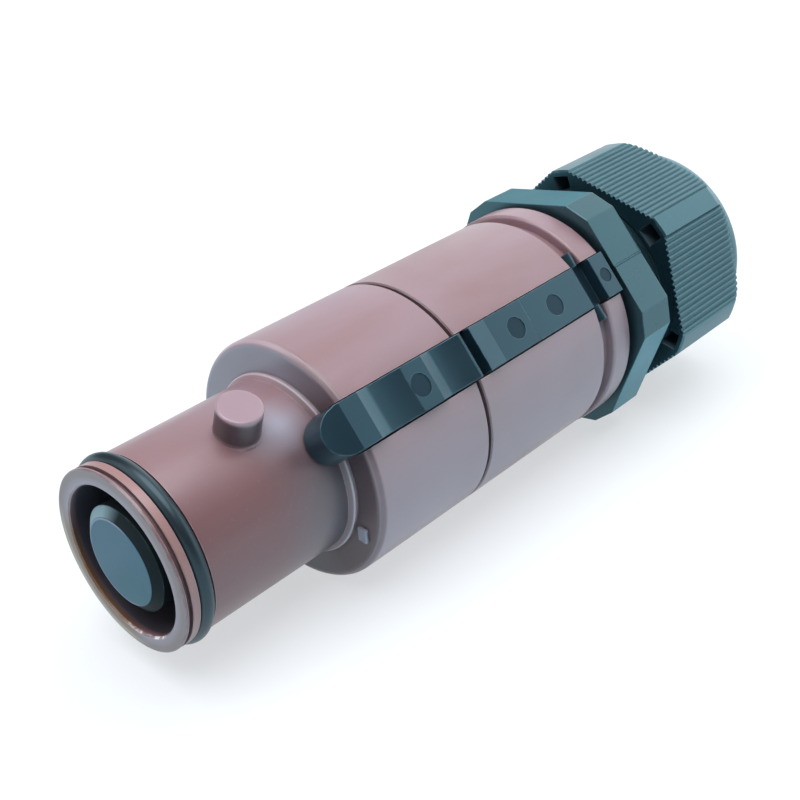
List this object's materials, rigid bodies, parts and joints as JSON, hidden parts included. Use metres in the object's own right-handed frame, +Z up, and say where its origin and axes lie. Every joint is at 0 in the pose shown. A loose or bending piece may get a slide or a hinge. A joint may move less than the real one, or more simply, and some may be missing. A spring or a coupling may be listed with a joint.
{
  "type": "single pole power connector",
  "caption": "Cylindrical power plug with one large insulated-tip pin in a bayonet nose, a locking latch along its barrel and a cable gland at its end.",
  "frame": {"origin": "centre of the nose's open mouth, on the plug's axis", "axes": "+X along the plug's axis from the mouth to the cable end; +Z up as the plug lies on a table; the latch faces -Y and up"},
  "size_m": [0.174, 0.0588, 0.058],
  "materials": {
    "shell_brown": "satin moulded",
    "black_plastic": "satin moulded",
    "seal_rubber": "matt",
    "contact_silver": "silver plated, turned",
    "insulator_grey": "moulded",
    "ring_brass": "turned",
    "screw_steel": "plated"
  },
  "bodies": {
    "connector": {"front_shell": "shell_brown", "rear_housing": "shell_brown", "nose_o_ring": "seal_rubber", "contact_tip_cap": "black_plastic", "contact_pin": "contact_silver", "contact_seal": "seal_rubber", "contact_carrier": "insulator_grey", "carrier_seal": "seal_rubber", "contact_retaining_ring": "ring_brass", "housing_joint_seal": "seal_rubber", "clamp_screw_front": "screw_steel", "clamp_screw_rear": "screw_steel", "gland_body": "black_plastic", "gland_gasket": "seal_rubber", "clamping_cage": "black_plastic", "sealing_bush": "seal_rubber"},
    "latch": {"latch_lever": "black_plastic"},
    "slide_ring": {"thrust_washer": "insulator_grey"},
    "nut": {"gland_nut": "black_plastic"}
  },
  "joints": [
    {"name": "latch_lift", "type": "hinge", "parent": "connector", "child": "latch", "pos_m": [0.1136, -0.01865, 0.0151], "axis": [0, 0.6293, 0.7771], "range_deg": [0, 3], "stiffness_Nm_per_rad": 2, "springref_deg": -5.73},
    {"name": "nut_travel", "type": "slide", "parent": "connector", "child": "slide_ring", "axis": [1, 0, 0], "range_m": [-0.004, 0]},
    {"name": "nut_turn", "type": "hinge", "parent": "slide_ring", "child": "nut", "pos_m": [0.15, 0, 0], "axis": [1, 0, 0], "range_deg": [-960, 0]}
  ],
  "couplings": [
    {"joint": "nut_travel", "follows": "nut_turn", "m_per_rad": 0.00023873}
  ]
}
